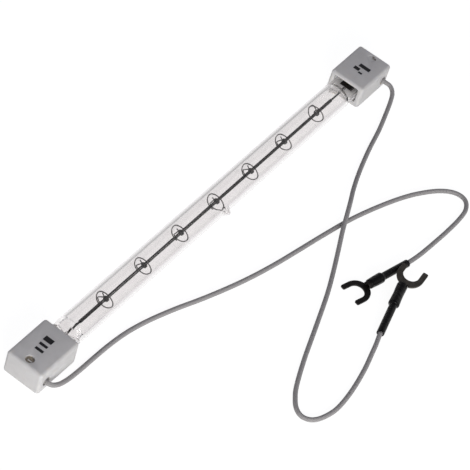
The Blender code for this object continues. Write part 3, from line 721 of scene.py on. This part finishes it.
def crimp_barrel(end, fork, material):
    """The rolled barrel behind the tongue, with its seam left open by a hair."""
    bm = bmesh.new()
    count = 40
    back = BARREL_INSET - fork["bulge_length"]
    rim = BARREL_RADIUS - BARREL_CHAMFER
    profile = ((back, rim), (back + BARREL_CHAMFER, BARREL_RADIUS),
               (BARREL_STICK_OUT - BARREL_CHAMFER, BARREL_RADIUS), (BARREL_STICK_OUT, rim))
    rings = []
    for x, radius in profile:
        ring = []
        for k in range(count + 1):
            angle = math.pi / 2 + BARREL_SEAM + (2 * math.pi - 2 * BARREL_SEAM) * k / count
            rise = -fork["tongue_side"] * radius * math.sin(angle)
            ring.append(bm.verts.new((x, radius * math.cos(angle), rise)))
        rings.append(ring)
    for ring, following in zip(rings, rings[1:]):
        for i in range(count):
            bm.faces.new((ring[i], ring[i + 1], following[i + 1], following[i]))
    mesh = mesh_from(f"crimp_barrel_{end}", bm)
    mesh.transform(terminal_frame(fork))
    piece = add_piece(f"crimp_barrel_{end}", mesh, material, ())
    solid = piece.modifiers.new("sheet", "SOLIDIFY")
    solid.thickness = BARREL_WALL
    solid.offset = -1.0
    return piece


def seal_height(y):
    """Half the thickness of the pinched seal at y: a ribbed web between two rounded beads."""
    off = abs(y)
    flat_end = PINCH_HALF_WIDTH - PINCH_ROUNDING
    if off > flat_end:
        drop = math.sqrt(max(0.0, PINCH_ROUNDING ** 2 - (off - flat_end) ** 2))
        return PINCH_HALF_THICKNESS - PINCH_ROUNDING + drop
    web_edge = PINCH_HALF_WIDTH - PINCH_BEAD
    rise = eased(0.0, 1.0, (off - web_edge) / PINCH_BEAD_RISE)
    rib = sizes().rib_height * math.cos(2 * math.pi * y / sizes().rib_pitch)
    return PINCH_HALF_WEB + rib + (PINCH_HALF_THICKNESS - PINCH_HALF_WEB - rib) * rise


def seal_outline(half_count):
    """Points round the pinched seal in (y, z), from its +Y edge over the top and back below."""
    steps = 400
    path = [Vector((PINCH_HALF_WIDTH, 0.0))]
    for i in range(steps + 1):
        y = PINCH_HALF_WIDTH * (1 - 2 * i / steps)
        path.append(Vector((y, seal_height(y))))
    path.append(Vector((-PINCH_HALF_WIDTH, 0.0)))
    upper = even_points(path, half_count)[0]
    return upper[:-1] + [Vector((y, -z)) for y, z in reversed(upper[1:])]


def ellipse(half_width, half_height, count):
    """Points round an ellipse in (y, z), from its +Y edge over the top."""
    return [Vector((half_width * math.cos(2 * math.pi * i / count),
                    half_height * math.sin(2 * math.pi * i / count))) for i in range(count)]


def placed(x, outline):
    return [Vector((x, y, AXIS_HEIGHT + z)) for y, z in outline]


def pumped_rise(x, y, z, out):
    """How far the glass is drawn out toward -Y near the tip, on its outer skin or in its bore."""
    if y > 0.0:
        return 0.0
    off = math.hypot(x - TIP_X, z)
    if out:
        return TIP_HEIGHT * eased(1.0, 0.0, off / TIP_RADIUS)
    return TIP_BORE_HEIGHT * eased(1.0, 0.0, off / TIP_BORE_RADIUS)


def body_sections(radius, half_length, count, out):
    """Round sections of the tube's body, in coarse steps, and in fine ones round the pumping tip."""
    fine_reach = TIP_RADIUS * 1.2
    fine = [TIP_X + fine_reach * (i / 20 - 1) for i in range(41)]
    coarse = [half_length * (i / 10 - 1) for i in range(1, 21)] + [-half_length - NEAR_SHOULDER_SHIFT]
    places = sorted(fine + [x for x in coarse if abs(x - TIP_X) > TIP_RADIUS * 1.3])
    circle = ellipse(radius, radius, count)
    sections = []
    for x in places:
        outline = [Vector((y - pumped_rise(x, y, z, out), z)) for y, z in circle]
        sections.append(placed(x, outline))
    return sections


def envelope_mesh():
    """The quartz shell: outer skin with pinched seals and pumping tip, and the bore in it."""
    count = 256
    steps = 18
    seal = seal_outline(count // 2)
    circle = ellipse(TUBE_RADIUS, TUBE_RADIUS, count)
    outer = []
    inner = []
    for step in range(1, steps + 1):
        share = step / steps
        blend = eased(0.0, 1.0, share)
        outline = [a.lerp(b, blend) for a, b in zip(circle, seal)]
        outer.append(placed(SHOULDER_START + (PINCH_START - SHOULDER_START) * share, outline))
        x = BORE_SHOULDER_START + (BORE_END - BORE_SHOULDER_START) * share
        narrowing = max(0.0, (x - BORE_FLAT_START) / (BORE_END - BORE_FLAT_START))
        outline = ellipse(BORE_RADIUS + (BORE_END_HALF_WIDTH - BORE_RADIUS) * narrowing,
                          eased(BORE_RADIUS, BORE_END_HALF_HEIGHT, BORE_FLATTENING * share), count)
        inner.append(placed(x, outline))
    for share in (0.4, 0.8):
        outer.append(placed(PINCH_START + (PINCH_END - PINCH_START) * share, seal))
    outer.append(placed(PINCH_END, [point * PINCH_END_TAPER for point in seal]))
    bm = bmesh.new()
    shells = []
    for sections, radius, half_length, out in ((outer, TUBE_RADIUS, SHOULDER_START, True),
                                               (inner, BORE_RADIUS, BORE_SHOULDER_START, False)):
        mirrored = [[Vector((-min(p.x + NEAR_SHOULDER_SHIFT, PINCH_END), p.y, p.z)) for p in section]
                    for section in sections]
        before = set(bm.faces)
        skin(bm, list(reversed(mirrored)) + body_sections(radius, half_length, count, out) + sections)
        shells.append([face for face in bm.faces if face not in before])
    for face in shells[0]:
        center = face.calc_center_median()
        if abs(center.x) > PINCH_START and center.z < AXIS_HEIGHT:
            face.material_index = 1
    bmesh.ops.recalc_face_normals(bm, faces=shells[0])
    bmesh.ops.recalc_face_normals(bm, faces=shells[1])
    bmesh.ops.reverse_faces(bm, faces=shells[1])
    mesh = bpy.data.meshes.new("quartz_shell")
    bm.to_mesh(mesh)
    bm.free()
    return mesh


def around(x, radius, angle):
    return Vector((x, radius * math.cos(angle), AXIS_HEIGHT + radius * math.sin(angle)))


class HEATINGTUBE_OT_camera(bpy.types.Operator):
    """Place the camera where the photograph was taken"""

    bl_idname = "heating_tube.camera"
    bl_label = "Camera"

    def execute(self, context):
        data = bpy.data.cameras.new("camera")
        data.lens = CAMERA_LENS
        data.sensor_width = 36.0
        data.clip_start = 0.01
        data.clip_end = 20.0
        camera = add_object("camera", data)
        turn = CAMERA_FORWARD.to_track_quat("-Z", "Y").to_matrix().to_4x4()
        roll = Matrix.Rotation(CAMERA_ROLL, 4, "Z")
        camera.matrix_world = Matrix.Translation(CAMERA_PLACE) @ turn @ roll
        context.scene.camera = camera
        return {"FINISHED"}


class HEATINGTUBE_OT_leads(bpy.types.Operator):
    """Lay the two braided leads with their sleeves and fork terminals"""

    bl_idname = "heating_tube.leads"
    bl_label = "Leads, sleeves and forks"

    def execute(self, context):
        for (side, end), route, fork in zip(ENDS, (LEAD_NEAR_ROUTE, LEAD_FAR_ROUTE), (FORK_NEAR, FORK_FAR)):
            metal = plated_terminal(end)
            lead, path, length = braided_lead(end, side, route, fork)
            sleeve = shrunk_tube(end, fork)
            tongue = fork_tongue(end, fork, metal)
            barrel = crimp_barrel(end, fork, metal)
        return {"FINISHED"}


class HEATINGTUBE_OT_envelope(bpy.types.Operator):
    """Blow the quartz envelope with its pinched seals and pumping tip"""

    bl_idname = "heating_tube.envelope"
    bl_label = "Quartz envelope"

    def execute(self, context):
        shell = add_piece("quartz_shell", envelope_mesh(), fused_quartz(), ("quartz_envelope",))
        shell.data.materials.append(ribbed_quartz())
        # Without caustics the clear wall would throw a dark shadow
        shell.visible_shadow = False
        return {"FINISHED"}


class HEATINGTUBE_OT_filament(bpy.types.Operator):
    """Wind the filament coil"""

    bl_idname = "heating_tube.filament"
    bl_label = "Filament coil"

    def execute(self, context):
        wire = sizes().coil_wire
        radius = COIL_RADIUS - wire / 2
        start = COIL_LOW[0] + wire / 2
        end = COIL_HIGH[0] - wire / 2
        turns = round((end - start) / sizes().coil_pitch)
        per_turn = 12
        points = [around(start + (end - start) * i / (turns * per_turn), radius, 2 * math.pi * i / per_turn)
                  for i in range(turns * per_turn + 1)]
        mesh = wire_mesh("filament_coil", points, wire, 6)
        add_piece("filament_coil", mesh, drawn_tungsten(), ("filament",))
        return {"FINISHED"}


def ring_radius(angle, beaked):
    """The ring's radius, more where the middle ring is bent out to a beak."""
    radius = BORE_RADIUS - RING_GAP - sizes().support_wire / 2
    off = abs((angle - BEAK_ANGLE + math.pi) % (2 * math.pi) - math.pi)
    if not beaked or off > BEAK_HALF_ANGLE:
        return radius
    beak = BORE_RADIUS - SLIP_GAP - sizes().support_wire / 2
    return radius + (beak - radius) * (1 - off / BEAK_HALF_ANGLE)


def support_points(index):
    """One bent wire: a ring in the bore, a spoke to the filament, turns round it, and a tail."""
    wire = sizes().support_wire
    beaked = index == BEAKED_SUPPORT
    wrap = COIL_RADIUS + SLIP_GAP + wire / 2
    ring = BORE_RADIUS - RING_GAP - wire / 2
    foot = SPOKE_ANGLE + math.radians(SUPPORT_TURNS[index])
    foot_x = TIP_X + (index - BEAKED_SUPPORT) * SUPPORT_SPACING + RING_PITCH * RING_TURNS / 2
    ring_steps = 90
    wrap_steps = 56
    points = []
    for i in range(ring_steps + 1):
        left = 1 - i / ring_steps
        angle = foot - 2 * math.pi * RING_TURNS * left - RING_BEND / ring
        points.append(around(foot_x - RING_PITCH * RING_TURNS * left, ring_radius(angle, beaked), angle))
    wrap_start = foot + math.acos(wrap / ring)
    spoke_foot = around(foot_x, ring, foot)
    spoke = (around(foot_x, wrap, wrap_start) - spoke_foot).normalized()
    points += [spoke_foot + spoke * RING_BEND * share for share in (0.5, 1.0)]
    for i in range(wrap_steps + 1):
        share = i / wrap_steps
        points.append(around(foot_x + WRAP_PITCH * WRAP_TURNS * share, wrap,
                             wrap_start + 2 * math.pi * WRAP_TURNS * share))
    tail_angle = wrap_start + 2 * math.pi * WRAP_TURNS + math.acos(wrap / TAIL_REACH)
    points.append(around(foot_x + WRAP_PITCH * WRAP_TURNS, TAIL_REACH, tail_angle))
    return points


class HEATINGTUBE_OT_supports(bpy.types.Operator):
    """Bend the wire supports that hold the filament in the middle of the tube"""

    bl_idname = "heating_tube.supports"
    bl_label = "Filament supports"

    def execute(self, context):
        metal = drawn_molybdenum()
        for index in range(len(SUPPORT_TURNS)):
            name = f"support_wire_{index + 1}"
            mesh = wire_mesh(name, support_points(index), sizes().support_wire, 10)
            add_piece(name, mesh, metal, (f"filament_support_{index + 1}",))
        return {"FINISHED"}


def inner_lead_mesh(end, side):
    """The collar that grips the filament, and the thin wire from it to the foil."""
    low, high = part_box(f"inner_lead_{end}")
    start, stop = (low[0], high[0]) if side > 0 else (-high[0], -low[0])
    profile = ((start, COLLAR_RADIUS), (COLLAR_END, COLLAR_RADIUS),
               (COLLAR_END + COLLAR_CONE, FEED_RADIUS), (stop, FEED_RADIUS))
    count = 24
    angles = [2 * math.pi * k / count for k in range(count)]
    bm = bmesh.new()
    skin(bm, [[around(side * x, radius, angle) for angle in angles] for x, radius in profile])
    return mesh_from(f"feed_wire_{end}", bm)


class HEATINGTUBE_OT_feeds(bpy.types.Operator):
    """Make the inner leads, and finish the foils, pins, splices and conductors"""

    bl_idname = "heating_tube.feeds"
    bl_label = "Feed wires"

    def execute(self, context):
        plate = nickel_plate()
        finishes = {"foil": rolled_foil(), "outer_pin": plate, "splice": plate, "conductor": plate}
        wire = oxidised_wire()
        for side, end in ENDS:
            lead = add_piece(f"feed_wire_{end}", inner_lead_mesh(end, side), wire,
                             (f"inner_lead_{end}",))
            lead.modifiers.new("edges", "EDGE_SPLIT")
            for piece, finish in finishes.items():
                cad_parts[f"{piece}_{end}"].material_slots[0].material = finish
        return {"FINISHED"}


def rounded_box(name, low, high, edge, segments):
    bm = bmesh.new()
    bmesh.ops.create_cube(bm, size=1.0)
    low = Vector(low)
    high = Vector(high)
    bmesh.ops.scale(bm, vec=high - low, verts=bm.verts)
    bmesh.ops.translate(bm, vec=(low + high) / 2, verts=bm.verts)
    bmesh.ops.bevel(bm, geom=list(bm.edges), offset=edge, segments=segments, profile=0.5, affect="EDGES")
    return mesh_from(name, bm)


def round_bar(name, radius, start, end):
    bm = bmesh.new()
    bmesh.ops.create_cone(bm, cap_ends=True, segments=48, radius1=radius, radius2=radius,
                          depth=(end - start).length)
    turn = (end - start).to_track_quat("Z", "Y").to_matrix().to_4x4()
    bmesh.ops.transform(bm, matrix=Matrix.Translation((start + end) / 2) @ turn, verts=bm.verts)
    return mesh_from(name, bm)


def cut(piece, shapes):
    """Cut the shapes out of a piece for good."""
    cutters = []
    for shape in shapes:
        cutter = add_object(shape.name, shape)
        boolean = piece.modifiers.new("cut", "BOOLEAN")
        boolean.operation = "DIFFERENCE"
        boolean.solver = "EXACT"
        boolean.object = cutter
        cutters.append(cutter)
    bpy.context.view_layer.update()
    graph = bpy.context.evaluated_depsgraph_get()
    mesh = bpy.data.meshes.new_from_object(piece.evaluated_get(graph))
    piece.modifiers.clear()
    piece.data = mesh
    for cutter in cutters:
        bpy.data.objects.remove(cutter, do_unlink=True)


class HEATINGTUBE_OT_caps(bpy.types.Operator):
    """Press the two ceramic caps, with their holes and rounded edges"""

    bl_idname = "heating_tube.caps"
    bl_label = "Ceramic caps"

    def execute(self, context):
        ceramic = steatite()
        for side, end in ENDS:
            low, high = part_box(f"end_cap_{end}")
            cement_low, cement_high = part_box(f"cement_{end}")
            mesh = rounded_box(f"ceramic_cap_{end}", low, high, sizes().cap_edge, 6)
            cap = add_piece(f"ceramic_cap_{end}", mesh, ceramic, (f"end_cap_{end}",))
            outer_x = high[0] if side > 0 else low[0]
            mouth_x = low[0] if side > 0 else high[0]
            span = sorted((mouth_x - side * MM, outer_x - side * CAP_END_WALL))
            half_cavity = AXIS_HEIGHT - cement_low[2] + SLIP_GAP
            cavity = rounded_box(f"cavity_{end}",
                                 (span[0], cement_low[1] - SLIP_GAP, AXIS_HEIGHT - half_cavity),
                                 (span[1], cement_high[1] + SLIP_GAP, AXIS_HEIGHT + half_cavity),
                                 CAVITY_EDGE, 4)
            vent = Vector((outer_x - side * VENT_FROM_END, 0.0, AXIS_HEIGHT))
            above = Vector((vent.x, 0.0, high[2] + MM))
            hole = Vector((outer_x - side * LEAD_HOLE_FROM_END, low[1] - MM, LEAD_HOLE_HEIGHT))
            within = hole + Vector((0.0, 4 * MM, 0.0))
            cut(cap, (cavity, round_bar(f"vent_{end}", VENT_RADIUS, vent, above),
                      round_bar(f"hole_{end}", LEAD_HOLE_RADIUS, hole, within)))
            soften = cap.modifiers.new("soft_edges", "BEVEL")
            soften.width = HOLE_EDGE
            soften.segments = 3
            soften.limit_method = "ANGLE"
            soften.angle_limit = math.radians(50)
        return {"FINISHED"}


class HEATINGTUBE_OT_cement(bpy.types.Operator):
    """Finish the cement that holds the seals, and what is seen in the caps' upper holes"""

    bl_idname = "heating_tube.cement"
    bl_label = "Cement"

    def execute(self, context):
        finish = cement()
        for side, end in ENDS:
            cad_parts[f"cement_{end}"].material_slots[0].material = finish
        vent_x = CAP_END - VENT_FROM_END
        floor = CAP_TOP - VENT_FILL_DEPTH
        low = Vector((-0.2, -0.95, -0.2)) * MM
        high = Vector((0.2, 0.95, 0.1)) * MM
        # The strip is the crimp's real edge; its near-white colour is a painted highlight of its metal
        # shine
        strip = rounded_box("crimp_strip", low, high, 0.08 * MM, 2)
        place = Vector((-vent_x, 0.0, floor)) + Vector((-0.35, -0.3, 0.12)) * MM
        tilt = Matrix.Rotation(math.radians(-40), 4, "Y")
        strip.transform(Matrix.Translation(place) @ tilt)
        add_piece("crimp_strip", strip, tinned_strip(), (), smooth=False)
        paste = round_bar("vent_paste", VENT_RADIUS - PASTE_GAP, Vector((vent_x, 0.0, floor)),
                          Vector((vent_x, 0.0, CAP_TOP - PASTE_DEPTH)))
        add_piece("vent_paste", paste, ceramic_paste(), (), smooth=False)
        return {"FINISHED"}


class HEATINGTUBE_OT_marks(bpy.types.Operator):
    """Stamp plain bars on the caps"""

    bl_idname = "heating_tube.marks"
    bl_label = "Stamped marks"

    def execute(self, context):
        ink = marking_ink()
        for end, bars in BARS.items():
            name = f"stamped_bars_{end}"
            bm = bmesh.new()
            for x, y, wide, deep in bars:
                place = Matrix.Translation((x * MM, y * MM, CAP_TOP + INK_HEIGHT))
                size = Matrix.Diagonal((wide * MM, deep * MM, 1.0, 1.0))
                bmesh.ops.create_grid(bm, x_segments=1, y_segments=1, size=0.5, matrix=place @ size)
            add_piece(name, mesh_from(name, bm), ink, smooth=False)
        return {"FINISHED"}


class HEATINGTUBE_OT_stage(bpy.types.Operator):
    """Set the white floor, the lamps and the world"""

    bl_idname = "heating_tube.stage"
    bl_label = "Stage"

    def execute(self, context):
        context.scene.view_settings.view_transform = "Standard"
        self.make_floor()
        self.make_world(context)
        self.make_lamps()
        return {"FINISHED"}

    def seen_rays(self, tree, *kinds):
        """One for rays straight from the camera and those of the kinds named, and nought for others."""
        rays = add_node(tree, "ShaderNodeLightPath")
        seen = rays.outputs["Is Camera Ray"]
        for kind in kinds:
            seen = add_node(tree, "ShaderNodeMath", settings={"operation": "MAXIMUM"},
                            links={0: seen, 1: rays.outputs[kind]}).outputs[0]
        return seen

    def make_floor(self):
        """White paper, matt: it glows by itself where it is looked at, and keeps the lamp's shadow."""
        bm = bmesh.new()
        bmesh.ops.create_grid(bm, x_segments=1, y_segments=1, size=FLOOR_HALF_WIDTH)
        mesh = mesh_from("floor", bm)
        floor = add_object("floor", mesh)
        paper = color("floor")
        material, tree, shader = start_material("white_paper_floor", paper, 0.9)
        seen = self.seen_rays(tree, "Is Transmission Ray", "Is Glossy Ray")
        facing = add_node(tree, "ShaderNodeLayerWeight", values={"Blend": 0.5}).outputs["Facing"]
        grazing = add_node(tree, "ShaderNodeMapRange", links={"Value": facing},
                           values={"From Min": 0.4, "From Max": 0.95, "To Min": FLOOR_GLOW,
                                   "To Max": GRAZING_GLOW}).outputs["Result"]
        level = add_node(tree, "ShaderNodeMix", links={"Factor": self.seen_rays(tree), "A": grazing},
                         values={"B": FLOOR_GLOW})
        glow = add_node(tree, "ShaderNodeMath", settings={"operation": "MULTIPLY"},
                        links={0: seen, 1: level.outputs["Result"]})
        faint = add_node(tree, "ShaderNodeMix", settings={"data_type": "RGBA"}, links={"Factor": seen})
        faint.inputs[6].default_value = (*paper, 1.0)
        faint.inputs[7].default_value = (*scaled(paper, LIT_SHARE), 1.0)
        tree.links.new(faint.outputs[2], shader.inputs["Base Color"])
        shader.inputs["Specular IOR Level"].default_value = 0.0
        shader.inputs["Emission Color"].default_value = (1.0, 1.0, 1.0, 1.0)
        tree.links.new(glow.outputs[0], shader.inputs["Emission Strength"])
        mesh.materials.append(material)

    def make_world(self, context):
        """White where it is seen, and light that fades from the horizon upward elsewhere."""
        world = bpy.data.worlds.new("studio")
        context.scene.world = world
        world.use_nodes = True
        tree = world.node_tree
        place = add_node(tree, "ShaderNodeTexCoord").outputs["Generated"]
        height = add_node(tree, "ShaderNodeSeparateXYZ", links={0: place}).outputs["Z"]
        fade = add_node(tree, "ShaderNodeValToRGB", links={"Fac": height},
                        stops=((0.0, HORIZON_LIGHT), (OVERHEAD_START, OVERHEAD_LIGHT)))
        mix = add_node(tree, "ShaderNodeMix", settings={"data_type": "RGBA"},
                       links={"Factor": self.seen_rays(tree, "Is Transmission Ray"),
                              6: fade.outputs["Color"]})
        mix.inputs[7].default_value = (1.0, 1.0, 1.0, 1.0)
        tree.links.new(mix.outputs[2], tree.nodes["Background"].inputs["Color"])

    def make_lamps(self):
        for name, place, power, width in LAMPS:
            data = bpy.data.lights.new(name, "AREA")
            data.energy = power
            data.size = width
            lamp = add_object(name, data)
            lamp.location = place
            lamp.rotation_euler = (-Vector(place)).to_track_quat("-Z", "Y").to_euler()


OPERATORS = (
    HEATINGTUBE_OT_camera,
    HEATINGTUBE_OT_leads,
    HEATINGTUBE_OT_envelope,
    HEATINGTUBE_OT_filament,
    HEATINGTUBE_OT_supports,
    HEATINGTUBE_OT_feeds,
    HEATINGTUBE_OT_caps,
    HEATINGTUBE_OT_cement,
    HEATINGTUBE_OT_marks,
    HEATINGTUBE_OT_stage,
)


class HEATINGTUBE_PT_panel(bpy.types.Panel):
    """Lists the sizes, the colours and the steps of the build"""

    bl_idname = "HEATINGTUBE_PT_panel"
    bl_label = "Quartz Heating Tube"
    bl_space_type = "VIEW_3D"
    bl_region_type = "UI"
    bl_category = "Heating Tube"

    def draw(self, context):
        for group in (context.scene.heating_tube_sizes, context.scene.heating_tube_colors):
            column = self.layout.column()
            for name in group.__annotations__:
                column.prop(group, name)
        for operator in OPERATORS:
            self.layout.operator(operator.bl_idname)


CLASSES = (HeatingTubeSizes, HeatingTubeColors, *OPERATORS, HEATINGTUBE_PT_panel)


def register():
    for item in CLASSES:
        bpy.utils.register_class(item)
    bpy.types.Scene.heating_tube_sizes = PointerProperty(type=HeatingTubeSizes)
    bpy.types.Scene.heating_tube_colors = PointerProperty(type=HeatingTubeColors)


def unregister():
    del bpy.types.Scene.heating_tube_colors
    del bpy.types.Scene.heating_tube_sizes
    for item in reversed(CLASSES):
        bpy.utils.unregister_class(item)


def main():
    register()
    bpy.ops.heating_tube.camera()
    bpy.ops.heating_tube.leads()
    bpy.ops.heating_tube.envelope()
    bpy.ops.heating_tube.filament()
    bpy.ops.heating_tube.supports()
    bpy.ops.heating_tube.feeds()
    bpy.ops.heating_tube.caps()
    bpy.ops.heating_tube.cement()
    bpy.ops.heating_tube.marks()
    bpy.ops.heating_tube.stage()


if __name__ == "__main__":
    main()
